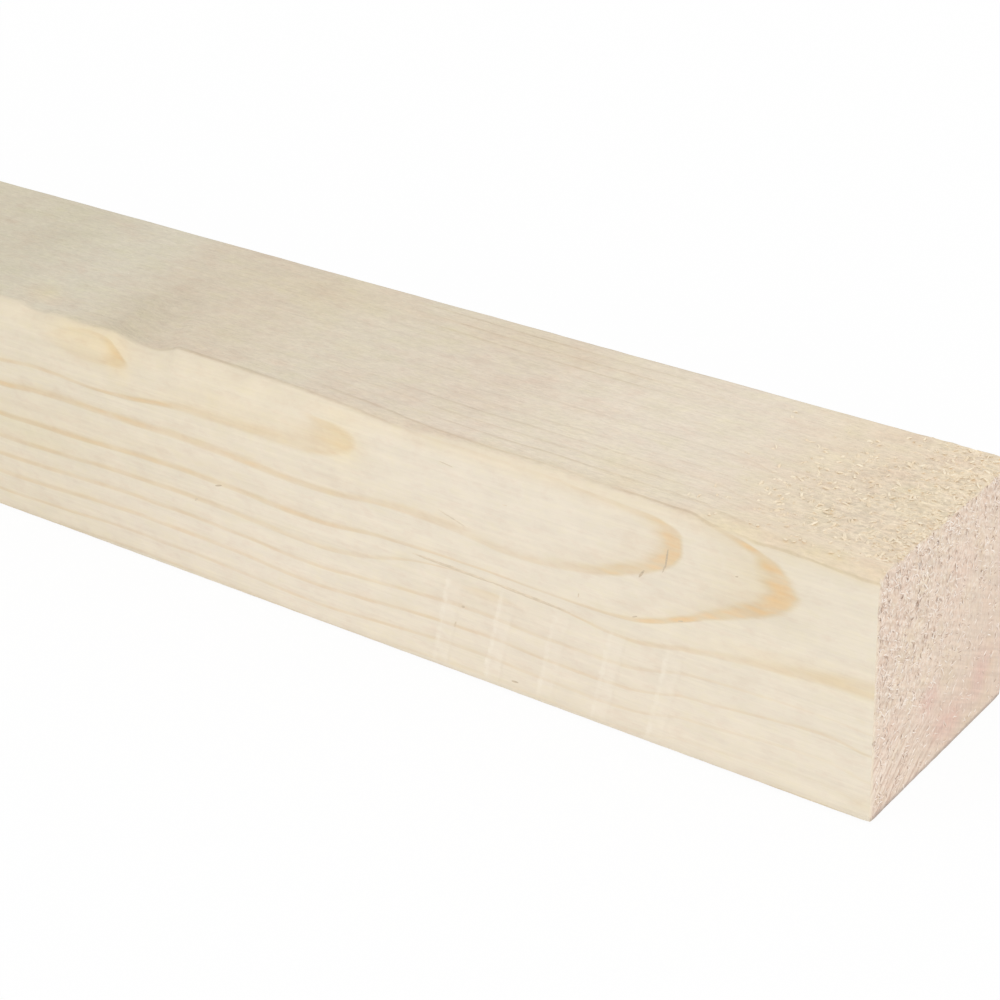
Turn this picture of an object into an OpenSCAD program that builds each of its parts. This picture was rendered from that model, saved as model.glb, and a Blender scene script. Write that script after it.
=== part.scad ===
// Rough-sawn square softwood timber, lying flat on its bottom face.
// X runs along the timber, the near end is at +X, and the front face is at -Y.

/* [Timber] */
// Length that the timber is cut to
length = 2000; // [600:50:6000]
// Width of the section, from the front face to the back face
width = 60; // [40:1:150]
// Height of the section, from the bottom face to the top face
height = 60; // [40:1:150]

/* [Arrises] */
// Radius of the worn arris between the front face and the top face
worn_arris_r = 5; // [1:0.5:8]
// Radius of the three arrises that are left as the saw made them
sawn_arris_r = 1; // [0.4:0.1:4]

/* [Torn hollow] */
// Distance from the near end to the torn hollow, at the front face
torn_from_end = 199; // [60:1:400]
// Depth of the torn hollow below the top face, at the front face
torn_depth = 2.4; // [1:0.1:6]
// Length of the torn hollow along the top face, at the front face
torn_run = 25; // [16:1:60]
// How far the torn hollow reaches across the top face
torn_reach = 38; // [12:1:60]
// Angle by which the torn hollow leans away from the near end
torn_skew = 22; // [-30:1:30]

/* [Chipped hollow] */
// Distance from the near end to the chipped hollow, at the front face
chip_from_end = 238; // [60:1:400]
// Depth of the chipped hollow below the top face, at the front face
chip_depth = 1.2; // [0.5:0.1:4]
// Length of the chipped hollow along the top face, at the front face
chip_run = 15; // [8:1:60]
// How far the chipped hollow reaches across the top face
chip_reach = 14; // [8:1:60]
// Angle by which the chipped hollow leans away from the near end
chip_skew = 0; // [-30:1:30]

/* [Hidden] */
$fn = 96;
// How far a cutter runs past the faces that it cuts
overcut = 5;
near_end = length / 2;
front = -width / 2;
spruce = [0.91, 0.86, 0.78];

// What is taken off a corner at the origin to leave a round arris, towards +X and +Y
module corner_waste(radius) {
    difference() {
        translate([-overcut, -overcut]) square(radius + overcut);
        translate([radius, radius]) circle(radius);
    }
}

// The timber's section, front face to the left and bottom face down
module section() {
    difference() {
        translate([front, 0]) square([width, height]);
        translate([front, height]) mirror([0, 1]) corner_waste(worn_arris_r);
        translate([front, 0]) corner_waste(sawn_arris_r);
        translate([-front, 0]) mirror([1, 0]) corner_waste(sawn_arris_r);
        translate([-front, height]) rotate(180) corner_waste(sawn_arris_r);
    }
}

// Radius of the round bottom of a hollow, from its run and its depth at the front face
function hollow_radius(run, depth) = (run * run / 4 + depth * depth) / (2 * depth);

// A hollow that is deepest at the front face and rises to the top face at its reach
module arris_hollow(from_end, depth, run, reach, skew) {
    radius = hollow_radius(run, depth);
    rise = atan(depth / reach);
    start = -overcut - radius * tan(abs(skew));
    translate([near_end - from_end, front, height - depth])
        rotate([rise, 0, skew])
            translate([0, start, radius])
                rotate([-90, 0, 0])
                    cylinder(r = radius, h = reach / cos(rise) + overcut - start);
}

module sawn_timber() {
    color(spruce)
        difference() {
            rotate([90, 0, 90])
                linear_extrude(height = length, center = true)
                    section();
            arris_hollow(torn_from_end, torn_depth, torn_run, torn_reach, torn_skew);
            arris_hollow(chip_from_end, chip_depth, chip_run, chip_reach, chip_skew);
        }
}

sawn_timber();
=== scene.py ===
"""A length of rough-sawn square softwood timber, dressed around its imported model.

Places on the timber are in millimetres: "back" is the distance from the near end, "depth" the
distance behind the front face, and "height" the distance above the bottom face.
"""
import itertools
import math

import bpy
import numpy as np
from mathutils import Matrix, Vector


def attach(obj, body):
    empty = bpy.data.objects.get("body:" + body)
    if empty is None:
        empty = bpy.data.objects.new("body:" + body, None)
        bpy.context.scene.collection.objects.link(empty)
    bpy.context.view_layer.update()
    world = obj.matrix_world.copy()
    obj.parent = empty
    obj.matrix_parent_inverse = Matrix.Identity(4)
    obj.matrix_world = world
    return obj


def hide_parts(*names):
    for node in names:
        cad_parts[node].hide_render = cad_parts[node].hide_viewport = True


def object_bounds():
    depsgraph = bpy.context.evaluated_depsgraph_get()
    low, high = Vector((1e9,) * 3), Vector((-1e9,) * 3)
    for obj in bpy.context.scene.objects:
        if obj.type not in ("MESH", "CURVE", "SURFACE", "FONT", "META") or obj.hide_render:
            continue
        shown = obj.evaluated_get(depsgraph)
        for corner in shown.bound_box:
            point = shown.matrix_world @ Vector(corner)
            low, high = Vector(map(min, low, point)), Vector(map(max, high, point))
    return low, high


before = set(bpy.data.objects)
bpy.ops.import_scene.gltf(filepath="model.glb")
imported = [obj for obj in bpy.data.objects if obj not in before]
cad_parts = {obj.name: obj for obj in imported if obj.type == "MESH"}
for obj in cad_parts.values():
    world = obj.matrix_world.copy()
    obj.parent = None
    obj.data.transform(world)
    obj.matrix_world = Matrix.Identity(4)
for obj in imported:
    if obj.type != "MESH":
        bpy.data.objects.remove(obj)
cad_low, cad_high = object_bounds()

MM = 0.001
NODE = "sawn_timber"
BODY = "root"
LENGTH, WIDTH, HEIGHT = [(high - low) / MM for low, high in zip(cad_low, cad_high)]

# Arrises and hollows, as the solid has them; a hollow's near side is a little steeper than its far side
WORN_ARRIS = 5.0
SAWN_ARRIS = 1.0
HOLLOWS = [
    {"back": 199, "depth": 2.4, "run": 25, "reach": 38, "skew": 22, "steep": 1.5},
    {"back": 238, "depth": 1.2, "run": 15, "reach": 14, "skew": 0, "steep": 1.2},
]
# Heights between which a hollow comes in
HOLLOW_FADE = (46.0, 57.0)

# Mesh spacing, and how far the closely spaced stretches reach from the near end
TORN_ZONE = 125.0
SHOWN_ZONE = 315.0
TORN_STEP = 0.7
SHOWN_STEP = 1.2
FAR_STEP = 8.0
NEAR_COUNTS = (60, 80, 24, 24)
FAR_COUNTS = (16, 16, 10, 10)
NEAR_CAP_CELLS = 120
FAR_CAP_CELLS = 30
CAP_INSET = 0.4
SHARP_ANGLE = math.radians(50)

# Groups of faces: four long sides near the end, four further back, and the two ends
NEAR_SIDES = 0
FAR_SIDES = 4
NEAR_CAP = 8
FAR_CAP = 9

# Growth rings: how far the pith lies in front of the front face, and how high, along the timber
PITH = [
    (0, 45.0, 44.9),
    (9, 44.1, 47.5),
    (20, 42.92, 49.4),
    (30, 41.9, 50.6),
    (40, 40.5, 51.7),
    (46.5, 38.75, 53.0),
    (52, 38.2, 52.0),
    (60, 37.7, 50.7),
    (70, 37.2, 50.2),
    (85, 37.0, 49.9),
    (100, 37.0, 50.6),
    (120, 36.85, 51.2),
    (131, 36.47, 51.4),
    (138, 36.05, 51.6),
    (144, 35.87, 51.5),
    (155, 35.67, 51.9),
    (170, 35.54, 53.0),
    (190, 35.3, 54.2),
    (200, 34.95, 54.8),
    (206, 34.55, 55.6),
    (219, 34.0, 56.5),
    (231, 34.5, 55.6),
    (240, 34.83, 54.6),
    (250, 34.9, 53.6),
    (320, 35.5, 51.0),
    (500, 39.0, 46.0),
    (850, 33.0, 40.0),
    (1250, 40.0, 34.0),
    (1600, 36.0, 28.0),
    (2000, 41.0, 24.0),
]
# Rings that show on the front face, from the inside out: outer radius, how wide the dark line is
# and how strongly the latewood shows, both at places along the timber
SHOWN_RINGS = [
    (33.2, [(0, 1.0), (260, 1.0)], [(0, 0.5), (260, 0.5)]),
    (34.65, [(0, 1.4), (260, 1.4)], [(0, 0.8), (206, 0.8), (210, 0.6), (216, 0.3), (228, 0.15), (320, 0.5)]),
    (
        36.3,
        [(0, 1.2), (128, 1.2), (140, 1.9), (150, 1.6), (185, 1.6), (200, 1.2), (260, 1.0)],
        [(0, 0.64), (143, 0.58), (153, 0.46), (182, 0.48), (196, 0.8), (224, 0.6), (260, 0.55)],
    ),
    (
        38.95,
        [(0, 1.5), (58, 1.5), (74, 1.1), (110, 1.1), (150, 1.4), (175, 1.7)],
        [(0, 1.0), (62, 0.95), (72, 0.66), (92, 0.34), (112, 0.5), (150, 0.64), (200, 0.75), (260, 0.8)],
    ),
    (
        43.2,
        [(0, 1.25), (38, 1.25), (55, 1.0), (150, 1.2)],
        [(0, 1.0), (48, 0.95), (58, 0.75), (75, 0.5), (100, 0.5), (130, 0.62), (260, 0.68)],
    ),
    (
        47.4,
        [(0, 1.9), (45, 1.5), (70, 0.8), (120, 0.8), (160, 1.3)],
        [(0, 0.5), (30, 0.5), (45, 0.42), (78, 0.58), (128, 0.42), (160, 0.5), (260, 0.6)],
    ),
    (51.2, [(0, 1.0), (110, 1.0), (260, 1.5)], [(0, 0.15), (40, 0.28), (80, 0.38), (120, 0.5), (260, 0.55)]),
    (55.2, [(0, 0.8), (110, 1.0), (260, 1.5)], [(0, 0.4), (40, 0.42), (80, 0.5), (120, 0.55), (260, 0.55)]),
    (59.3, [(0, 1.0), (260, 1.0)], [(0, 0.14), (60, 0.3), (105, 0.36), (130, 0.5), (180, 0.4), (260, 0.5)]),
    (63.6, [(0, 1.0), (260, 1.0)], [(0, 0.1), (60, 0.15), (260, 0.35)]),
]
# How much wider the dark lines are than the plain share of a ring, along the timber
LINE_WIDTH = [(0, 1.15), (25, 1.15), (45, 1.25), (80, 1.4), (2000, 1.4)]
RING_WIDTH = 4.2
HIDDEN_RING_STRENGTH = 0.6
INNER_RINGS = 6
OUTER_RINGS = 16
RING_WAVER = [(0.1, (38, 14, 14), 1), (0.05, (12, 6, 6), 2)]
# Where the grain is pinched together round a height, and where it rises or sinks between two heights
PINCH = {"back": 96, "run": 26, "height": 31.0, "reach": 8, "above": 0.14, "below": 0.9}
LIFTS = [
    {"back": 92, "run": 40, "from": 30.5, "to": 26.0, "rise": 3.0},
    {"back": 131, "run": 22, "from": 42.0, "to": 48.0, "rise": 0.5},
    {"back": 219, "run": 20, "from": 47.0, "to": 52.0, "rise": 1.6},
    {"back": 226, "run": 24, "from": 37.0, "to": 28.0, "rise": -1.8},
    {"back": 6, "run": 26, "from": 24.0, "to": 19.0, "rise": 3.6},
    {"back": 36, "run": 10, "from": 52.0, "to": 57.0, "rise": 2.0},
    {"back": 55, "run": 9, "from": 54.0, "to": 58.0, "rise": 2.5},
]
# How well the rings' upper branches show on the worn arris, along the timber
UPPER_BRANCH = [
    (0, 0.1),
    (8, 0.15),
    (17, 1.0),
    (50, 1.0),
    (58, 0.4),
    (115, 0.3),
    (128, 0.2),
    (142, 0.0),
    (2000, 0.0),
]
# Heights above the pith over which a ring's upper branch begins
UPPER_BRANCH_START = (0.5, 2.5)
# Around this place the innermost shown rings follow the worn arris over to the top face
ISLAND = {"back": 219, "run": 17, "shown": 14, "share": 0.85, "reach": 9, "rings": 2}
# This shown ring closes in a tip that stays in view above the pith
CLOSED_TIP = {"ring": 2, "fade": (152, 144)}
# Patches of the sawn top face where ring lines show: where each fades out and in along the timber,
# and where it fades across it
FRONT_LINES = ((170, 100), (20, 42), (34, 22))
ARRIS_LINES = ((205, 185), (40, 60), (9, 6))
REAR_LINES = ((165, 140), (70, 90), (42, 47))
FRONT_LINE_SHARE = 0.58
REAR_LINE_SHARE = 0.55
FAINT_LINE_SHARE = 0.1
HIDDEN_LINE_SHARE = 0.5
LINE_BREAK_MEAN = 0.75
LINE_BREAKS = [(0.35, (24, 5, 5), 33)]
# How far to each side of the planed edge the lines and the relief change over
LINE_BLEND = 0.6
RELIEF_BLEND = 1.0

# How the rings bend over the worn arris: back, then two depths, each with the depth that its ring comes from
ARRIS_BEND = [
    (0, 1.0, 1.0, 4.0, 4.0),
    (36, 1.0, 1.0, 4.0, 4.0),
    (44, 0.8, 0.8, 2.7, 3.1),
    (50, 0.8, 0.75, 2.95, 4.05),
    (57, 0.75, 0.6, 3.2, 4.5),
    (70, 1.1, 0.7, 3.4, 4.6),
    (85, 1.65, 0.7, 4.05, 4.7),
    (100, 1.8, 0.85, 3.9, 4.9),
    (115, 1.9, 1.2, 4.35, 5.25),
    (122, 2.2, 1.35, 5.15, 5.45),
    (130, 2.7, 1.55, 6.35, 5.7),
    (141, 3.5, 2.0, 7.15, 6.2),
    (160, 4.4, 2.2, 9.25, 6.5),
    (193, 5.5, 3.1, 11.0, 8.2),
    (206, 2.0, 2.0, 6.0, 6.0),
    (2000, 2.0, 2.0, 6.0, 6.0),
]
ARRIS_BEND_REACH = 20.0

# Where the smooth front face ends, as depth behind the worn arris's middle
PLANED_EDGE = [
    (0, -1.6),
    (20, -0.6),
    (35, -0.2),
    (46, 0.6),
    (58, 1.9),
    (90, 2.6),
    (112, 2.2),
    (122, 0.9),
    (130, 1.3),
    (141, 2.4),
    (154, 3.3),
    (173, 3.9),
    (188, 4.3),
    (199, 4.3),
    (212, 3.6),
    (221, 2.8),
    (231, 3.2),
    (252, 4.0),
    (2000, 4.0),
]

# Relief: layers of noise, each a height, a cell size and a seed
SAWN_RELIEF = [(0.07, (14, 1.2, 1.2), 3), (0.05, (4.5, 0.9, 0.9), 4)]
PLANED_RELIEF = [(0.025, (26, 2.2, 2.2), 6)]
TORN_RELIEF = [(0.18, (3.0, 1.4, 1.4), 7), (0.14, (1.6, 0.9, 0.9), 8)]
END_GRAIN_RELIEF = [(0.15, (1, 0.9, 1.6), 21), (0.15, (1, 0.6, 0.9), 22)]
END_GRAIN_MEAN = 0.24
END_PITS = [(1.0, (1, 1.1, 2.0), 24)]
END_PIT_LEVEL = 0.4
END_PIT_DEPTH = 0.25
SAW_RELIEF = [(0.05, (1, 0.8, 14), 23)]
RIPPLE_HEIGHT = 0.02
RIPPLE_PITCH = 7.4
RIPPLE_LEAN = 0.1
RIPPLE_WAVER = [(2.0, (40, 30, 30), 5)]
# Heights over which the top face's relief comes in
TOP_ZONE = (HEIGHT - 3.0, HEIGHT - 1.0)
# Wear of the long faces at the near end: its run, its depth, and how ragged it is where fibres are torn
END_WEAR = 2.0
END_WEAR_DEPTH = 0.08
END_WEAR_RAGGED = (0.08, 0.22)
END_WEAR_NOISE = [(1.0, (2, 1.2, 1.2), 9)]

# The torn part of the top face: how far it reaches, how much less far at the back, over which length
# it fades, and where it begins behind the worn arris
TORN_LIMIT = 50.0
TORN_LIMIT_DROP = 9.0
TORN_LIMIT_DEPTHS = (28.0, 58.0)
TORN_FADE = 36.0
TORN_BEGIN = (3.0, 9.0)
TORN_BEGIN_SLOPE = (0.12, 0.2)
TORN_FROM_ARRIS = (0.15, 0.85)
TORN_BLEND = (-0.5, 1.5)

# A darker seam follows the planed edge near the end, and fades out over these distances
SEAM_FADE = (38.0, 28.0)

# Marks of the feed roller's slanting bars on the front face; the gap before the first bar and after
# the last is a share of their pitch
BAR_FIRST = 47.6
BAR_PITCH = 14.8
BAR_COUNT = 5
BAR_GAP = 0.5
BAR_GAP_FADE = 0.1
BAR_LEAN = 0.24
BAR_HIGH = 27.0
BAR_LOW_FADE = (0.5, 3.5)
BAR_HIGH_FADE = (BAR_HIGH + 1.0, BAR_HIGH - 4.0)
BAR_HALF = 2.0
BAR_EDGE = 0.4
BAR_DEPTH = 0.08
BAR_MEAN = 0.8
BAR_NOISE = [(0.3, (9, 1, 6), 12)]
BAR_STRENGTHS = [(50, 0.65), (64, 0.95), (79, 0.6), (94, 0.8), (109, 0.85)]
# Each bar left a pale floor; the bright edge on its far side and the thin dark one on its near side are
# painted highlight and painted shade of the bar's edges: place in the bar, distances between which the colour
# fades, strength and colour
BAR_STAIN_AND_SHADING = [
    (0.0, BAR_HALF - 0.6, BAR_HALF + 0.6, 0.5, (245, 235, 219)),
    (BAR_HALF, 0.2, 0.9, 0.6, (250, 242, 227)),
    (-BAR_HALF, 0.1, 0.8, 0.16, (208, 190, 166)),
]

# The near end: where its grain is coarse and its latewood dark, where a painted highlight lies along its
# front and top edges, and where a painted shadow lies along its bottom edge
COARSENESS = (0.25, 0.75)
COARSE_RANGE = (-25.0, 30.0)
COARSE_SLOPE = 0.75
END_LATE = (0.25, 0.6)
END_LATE_RANGE = (30.0, 5.0)
END_LATE_SLOPE = 0.5
RIM_HIGHLIGHT_DEPTHS = (2.2, 0.8)
RIM_HIGHLIGHT_HEIGHTS = (HEIGHT - 1.6, HEIGHT - 0.4)
RIM_HIGHLIGHT_TOP_SHARE = 0.7
FOOT_SHADOW_HEIGHTS = (1.3, 0.4)
SLANT = math.radians(30)
# The saw left faint arcs in the end's lower front corner, round a point below the end
KERF_CENTRE_DEPTH = 47.0
KERF_CENTRE_HEIGHT = -35.0
KERF_HEIGHTS = (28.0, 10.0)
KERF_SLOPE = 0.2
KERF_DEPTHS = (40.0, 12.0)
# Pink patches: depth, height, half width, half height
BLUSHES = [(25, 17, 4, 4), (50, 11, 6, 6), (34, 7, 7, 4)]
BLUSH_SHARE = 0.8
BLUSH_NOISE = [(0.2, (9, 9, 9), 41)]

# Stains: shade, redness and yellowness of a face along the timber; on the top the dips from 188 to 270
# also hold painted shade of the torn hollow and a saw wave
TOP_TONE = [
    (0, 1.0, 0.042, 0.07),
    (25, 0.972, 0.042, 0.068),
    (60, 0.985, 0.005, 0.01),
    (90, 0.965, 0.005, 0.025),
    (122, 0.9, 0.02, 0.025),
    (157, 0.9, 0.0, 0.035),
    # From here to 270 the top's shade is partly painted shade of the torn hollow and a saw wave
    (188, 0.845, 0.02, 0.055),
    (213, 0.83, 0.015, 0.055),
    (240, 0.865, -0.025, 0.03),
    (270, 0.81, -0.02, 0.055),
    (400, 0.87, 0.0, 0.03),
    (2000, 0.9, 0.0, 0.03),
]
FRONT_TONE = [
    (0, 1.0, 0.0, 0.0),
    (140, 1.0, 0.0, 0.0),
    (207, 0.957, 0.004, 0.02),
    (245, 0.942, 0.004, 0.03),
    (2000, 0.95, 0.004, 0.03),
]
# Stained patches, and on the top some patches of painted shade: back, depth or height, half length,
# half width, shade, redness, yellowness
TOP_PATCHES = [
    # Painted shade, partly stained: on the torn hollow's far slope, which faces away from the key light, and
    # on a saw wave
    (213, 19, 9, 15, -0.075, 0.0, 0.01),
    (267, 38, 6, 14, -0.02, 0.0, 0.0),
    (243, 11, 6, 4, -0.01, 0.035, 0.075),
    (176, 49, 18, 7, -0.028, 0.012, 0.04),
    (120, 52, 28, 6, -0.022, 0.016, 0.042),
    (84, 34, 16, 13, 0.012, 0.0, -0.015),
    (66, 12, 9, 5, -0.014, 0.008, 0.055),
    (64, 6, 5, 2, -0.01, 0.02, 0.05),
    (112, 8, 15, 4, 0.03, 0.0, -0.01),
    (76, 4.5, 20, 2.5, -0.02, 0.0, 0.02),
    (8, 48, 10, 12, 0.018, 0.012, 0.0),
    # Painted shade beside the torn hollow
    (210, 6.5, 6, 2.5, -0.06, 0.0, 0.02),
    (10, 2.5, 14, 2.2, -0.03, 0.0, 0.0),
]
FRONT_PATCHES = [
    (60, 10, 90, 10, 0.012, 0.0, -0.005),
    (200, 10, 50, 10, 0.012, 0.0, -0.025),
    (84, 15, 34, 10, -0.014, 0.006, -0.004),
    (166, 52, 32, 8, -0.004, 0.012, 0.04),
    (219, 56.5, 12, 5.5, -0.018, 0.04, 0.095),
    (243, 25.5, 16, 3, -0.028, 0.0, 0.042),
    (170, 48.3, 28, 2.2, -0.002, 0.006, 0.02),
    (85, 58.7, 35, 1.6, -0.015, 0.015, 0.03),
    (95, 48, 34, 8, 0.012, 0.0, -0.01),
    (29, 48, 14, 9, -0.034, 0.008, 0.035),
    (1, 4.5, 4, 2, -0.03, 0.01, 0.05),
    (138.5, 51.8, 6, 5, 0.002, 0.03, 0.1),
    (12, 57.5, 22, 2.5, -0.022, 0.0, 0.01),
    (12, 32, 26, 2.8, 0.008, 0.016, 0.05),
    (209, 54.5, 4, 4.5, -0.012, 0.04, 0.09),
]
REST_TONE = (0.96, 0.0, 0.02)
# Change of shade, redness and yellowness on the worn arris, and the heights and depths that it fades over;
# its darker shade is painted shade that dims the extra light the rounded arris catches
ARRIS_SHADE_AND_TONE = (-0.06, 0.014, 0.03)
ARRIS_HEIGHTS = (HEIGHT - WORN_ARRIS, HEIGHT - 2.0)
ARRIS_DEPTHS = (6.0, 3.0)

# Whole numbers that scramble a cell's place into a fixed value
CELL_FACTORS = np.array([73856093, 19349663, 83492791])
SEED_FACTOR = 40503
SCRAMBLES = [(15, 739187), (13, 974711)]
LAST_SHIFT = 16
WORD = 0xFFFFFFFF
LOW_HALF = 0xFFFF


def srgb(red, green, blue):
    """A colour written from 0 to 255, as the linear values that shaders take."""
    channels = np.array([red, green, blue], float) / 255.0
    linear = np.where(channels <= 0.04045, channels / 12.92, ((channels + 0.055) / 1.055) ** 2.4)
    return (*[float(value) for value in linear], 1.0)


def stops(*rows):
    """Stops of a colour ramp: places from 0 to 1, each with a colour written from 0 to 255."""
    return [(place, srgb(*colour)) for place, *colour in rows]


def grey(value):
    return (value, value, value, 1.0)


def smoothstep(low, high, value):
    share = np.clip((value - low) / (high - low), 0.0, 1.0)
    return share * share * (3.0 - 2.0 * share)


def lifted(levels, share):
    """The first level, and as much of the second as the share says."""
    least, more = levels
    return least + more * share


def bell(distance):
    return np.exp(-(distance**2))


def bump(distance):
    """A flat-topped bump: 1 in its middle, and almost 0 past a distance of 1.3."""
    return np.exp(-(distance**4))


def points_at(back, depth, height):
    return np.stack([back, depth, height], axis=-1)


def lattice(cell, seed):
    """A fixed value from -1 to 1 for each whole-number cell."""
    mixed = np.bitwise_xor.reduce(cell * CELL_FACTORS, axis=-1) ^ (seed * SEED_FACTOR)
    mixed = mixed & WORD
    for shift, factor in SCRAMBLES:
        mixed = ((mixed ^ (mixed >> shift)) * factor) & WORD
    return ((mixed ^ (mixed >> LAST_SHIFT)) & LOW_HALF) * 2.0 / LOW_HALF - 1.0


def noise(place, cell_size, seed):
    """Smooth noise from -1 to 1 at places in millimetres, with cells of the given size."""
    scaled = place / np.asarray(cell_size, float)
    base = np.floor(scaled).astype(np.int64)
    blend = smoothstep(0.0, 1.0, scaled - base)
    total = np.zeros(place.shape[:-1])
    for corner in itertools.product((0, 1), repeat=3):
        weight = np.prod(np.where(np.array(corner) == 1, blend, 1.0 - blend), axis=-1)
        total += weight * lattice(base + np.array(corner), seed)
    return total


def layered(place, layers):
    return sum(height * noise(place, cell_size, seed) for height, cell_size, seed in layers)


def smooth_curve(at, stations, values):
    """A smooth curve through the stations that never swings past their values."""
    stations = np.asarray(stations, float)
    values = np.asarray(values, float)
    steps = np.diff(stations)
    slopes = np.diff(values) / steps
    tangents = np.zeros(len(stations))
    before, after = slopes[:-1], slopes[1:]
    steady = before * after > 0
    tangents[1:-1][steady] = 2 * before[steady] * after[steady] / (before[steady] + after[steady])
    index = np.clip(np.searchsorted(stations, at, side="right") - 1, 0, len(steps) - 1)
    share = np.clip((at - stations[index]) / steps[index], 0.0, 1.0)
    square, cube = share**2, share**3
    return (
        (2 * cube - 3 * square + 1) * values[index]
        + (cube - 2 * square + share) * steps[index] * tangents[index]
        + (3 * square - 2 * cube) * values[index + 1]
        + (cube - square) * steps[index] * tangents[index + 1]
    )


def along(table, back, column=1):
    """The value of a table's column at a distance from the near end."""
    return smooth_curve(back, [row[0] for row in table], [row[column] for row in table])


# Growth rings

shown_radii = [row[0] for row in SHOWN_RINGS]
inner_radii = [shown_radii[0] - RING_WIDTH * step for step in range(INNER_RINGS, 0, -1)]
outer_radii = [shown_radii[-1] + RING_WIDTH * step for step in range(1, OUTER_RINGS + 1)]
ring_radii = inner_radii + shown_radii + outer_radii


def bent_depth(back, depth, height):
    """Depth from which the ring at a place comes, where the rings bend over the worn arris."""
    first, first_from, second, second_from = [along(ARRIS_BEND, back, column) for column in (1, 2, 3, 4)]
    low = first_from * depth / first
    middle = first_from + (second_from - first_from) * (depth - first) / (second - first)
    left = (ARRIS_BEND_REACH - second_from) / (ARRIS_BEND_REACH - second)
    high = second_from + left * (depth - second)
    bent = np.where(depth < first, low, np.where(depth < second, middle, high))
    return np.where((depth < ARRIS_BEND_REACH) & (height > HEIGHT / 2), bent, depth)


def ring_count(back, depth, height):
    """Rings counted outwards from the pith; each ring ends at a whole number."""
    island = ISLAND["share"] * bump((back - ISLAND["back"]) / ISLAND["run"])
    near_arris = smoothstep(ISLAND["reach"], 0.0, depth) * (height > HEIGHT / 2)
    ring_depth = bent_depth(back, depth, height) * (1.0 - island * near_arris)
    ring_height = height
    for lift in LIFTS:
        rise = lift["rise"] * bell((back - lift["back"]) / lift["run"])
        ring_height = ring_height - rise * smoothstep(lift["from"], lift["to"], height)
    radius = np.hypot(ring_depth + along(PITH, back, 1), ring_height - along(PITH, back, 2))
    pinch = (height - PINCH["height"]) * bump((height - PINCH["height"]) / PINCH["reach"])
    pinch = pinch * bell((back - PINCH["back"]) / PINCH["run"])
    pinch = pinch * np.where(pinch > 0, PINCH["above"], PINCH["below"])
    radius = radius - pinch + layered(points_at(back, depth, height), RING_WAVER)
    return np.interp(radius, ring_radii, np.arange(len(ring_radii)))


def shown_ring(count):
    """Number of the shown ring whose dark line is nearest."""
    return np.floor(count + 0.5).astype(int) - INNER_RINGS


def by_ring(count, back, column, plain):
    """What a column of the shown rings says along the timber; other rings get the plain value."""
    ring = shown_ring(count)
    result = np.full(np.shape(count), plain)
    for index, row in enumerate(SHOWN_RINGS):
        result = np.where(ring == index, along(row[column], back), result)
    return result


def line_share(back, depth, height, count):
    """How well ring lines show on each face: fully on the planed front, in patches on the sawn top."""
    front_patch, arris_patch, rear_patch = [
        smoothstep(*fade_out, back) * smoothstep(*fade_in, back) * smoothstep(*across, depth)
        for fade_out, fade_in, across in (FRONT_LINES, ARRIS_LINES, REAR_LINES)
    ]
    patches = FRONT_LINE_SHARE * np.maximum(front_patch, arris_patch) + REAR_LINE_SHARE * rear_patch
    broken = LINE_BREAK_MEAN + layered(points_at(back, depth, height), LINE_BREAKS)
    past_edge = past_planed_edge(back, depth, height)
    above_pith = smoothstep(*UPPER_BRANCH_START, height - along(PITH, back, 2))
    hidden_branch = (1.0 - along(UPPER_BRANCH, back)) * above_pith
    ring = shown_ring(count)
    island = bump((back - ISLAND["back"]) / ISLAND["shown"]) * (ring < ISLAND["rings"])
    tip = smoothstep(*CLOSED_TIP["fade"], back) * (ring == CLOSED_TIP["ring"])
    on_front = smoothstep(LINE_BLEND, -LINE_BLEND, past_edge)
    on_front = on_front * (1.0 - hidden_branch * (1.0 - np.maximum(island, tip)))
    on_top = (height > HEIGHT - WORN_ARRIS) * 1.0
    top = (FAINT_LINE_SHARE + broken * patches) * smoothstep(-LINE_BLEND, LINE_BLEND, past_edge)
    return np.maximum(on_front, on_top * top + (1.0 - on_top) * HIDDEN_LINE_SHARE)


# Shape of the faces


def round_arrises(depth, height):
    """Moves points of the square section into its rounded corners; returns places and normals."""
    depth = np.array(depth, float)
    height = np.array(height, float)
    normal_depth = np.where(depth <= 0, -1.0, np.where(depth >= WIDTH, 1.0, 0.0))
    normal_height = np.where(height <= 0, -1.0, np.where(height >= HEIGHT, 1.0, 0.0))
    corners = [
        (0.0, 0.0, SAWN_ARRIS),
        (0.0, HEIGHT, WORN_ARRIS),
        (WIDTH, HEIGHT, SAWN_ARRIS),
        (WIDTH, 0.0, SAWN_ARRIS),
    ]
    new_depth = depth.copy()
    new_height = height.copy()
    for corner_depth, corner_height, radius in corners:
        side = 1.0 if corner_depth > 0 else -1.0
        level = 1.0 if corner_height > 0 else -1.0
        across = 1.0 - np.abs(depth - corner_depth) / radius
        up = 1.0 - np.abs(height - corner_height) / radius
        inside = (across > 0) & (up > 0)
        round_across = across * np.sqrt(np.maximum(0.0, 1.0 - up**2 / 2))
        round_up = up * np.sqrt(np.maximum(0.0, 1.0 - across**2 / 2))
        new_depth = np.where(inside, corner_depth + side * radius * (round_across - 1.0), new_depth)
        new_height = np.where(inside, corner_height + level * radius * (round_up - 1.0), new_height)
        normal_depth = np.where(inside, side * round_across, normal_depth)
        normal_height = np.where(inside, level * round_up, normal_height)
    return new_depth, new_height, normal_depth, normal_height


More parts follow.
